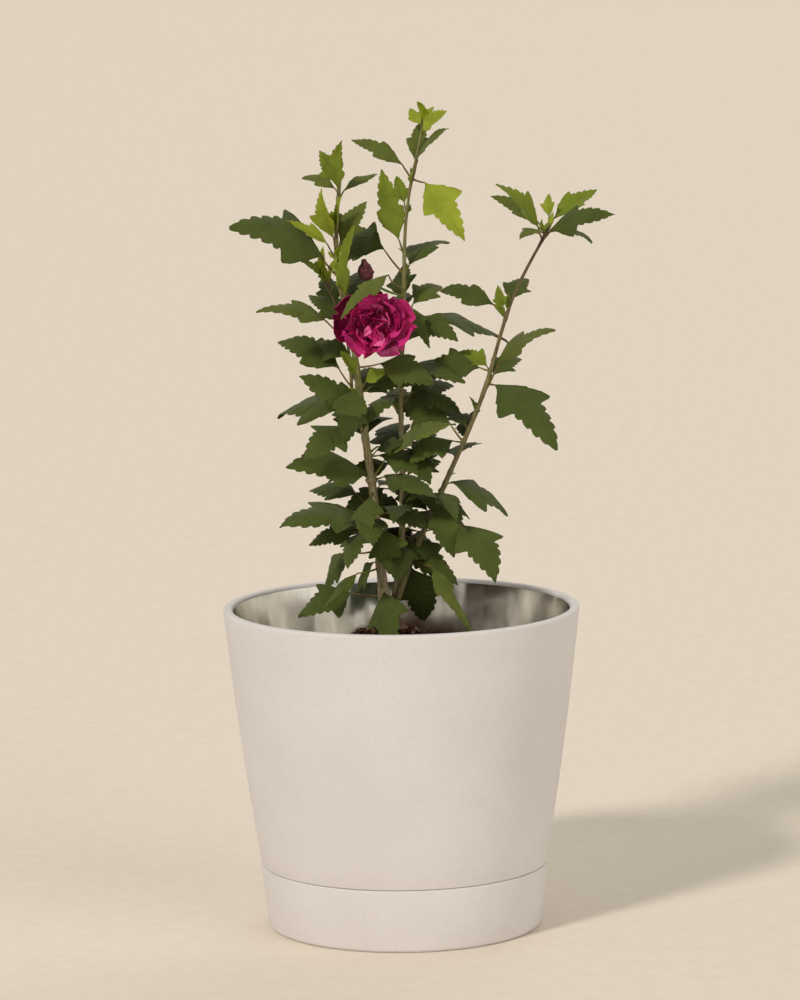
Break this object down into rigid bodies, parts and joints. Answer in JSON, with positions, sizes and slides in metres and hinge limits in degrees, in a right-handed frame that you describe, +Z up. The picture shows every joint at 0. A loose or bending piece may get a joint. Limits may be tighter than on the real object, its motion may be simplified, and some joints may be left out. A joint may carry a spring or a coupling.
{
  "type": "potted hibiscus shrub",
  "caption": "Young hibiscus shrub with upright leafy stems and a double bloom, growing in a tapered round planter on its own saucer.",
  "frame": {"origin": "centre of the saucer's flat underside, on the surface that the planter stands on", "axes": "+Z up; -Y towards the side that shows the bloom; +X to the right as seen from there"},
  "size_m": [0.3295, 0.3, 0.695],
  "materials": {
    "cream_plastic": "matte, faintly pebbled",
    "potting_mix": "loose and crumbly",
    "grey_bark": "matte bark",
    "brown_bark": "matte bark",
    "dark_leaf": "soft satin",
    "young_leaf": "soft satin",
    "petal": "velvety",
    "bud_scale": "matte"
  },
  "bodies": {
    "root": {"saucer": "cream_plastic", "planter": "cream_plastic", "soil": "potting_mix", "foot": "grey_bark", "stem_left": "grey_bark", "stem_middle": "grey_bark", "stem_right": "brown_bark", "stem_twig": "brown_bark", "bloom": "petal", "bud": "bud_scale", "foliage_left_skirt": "dark_leaf", "foliage_left_base": "dark_leaf", "foliage_left_low": "dark_leaf", "foliage_left_centre": "dark_leaf", "foliage_left_waist": "dark_leaf", "foliage_left_middle": "dark_leaf", "foliage_left_upper": "dark_leaf", "foliage_left_shoots": "young_leaf", "foliage_left_tip": "young_leaf", "foliage_twig_tip": "dark_leaf", "foliage_middle_base": "dark_leaf", "foliage_middle_low": "dark_leaf", "foliage_middle_heart": "dark_leaf", "foliage_middle_flank": "dark_leaf", "foliage_middle_upper": "dark_leaf", "foliage_middle_crown": "young_leaf", "foliage_middle_tip": "young_leaf", "foliage_right_low": "dark_leaf", "foliage_right_heart": "dark_leaf", "foliage_right_flank": "dark_leaf", "foliage_right_upper": "dark_leaf", "foliage_right_tip": "young_leaf"}
  },
  "joints": []
}
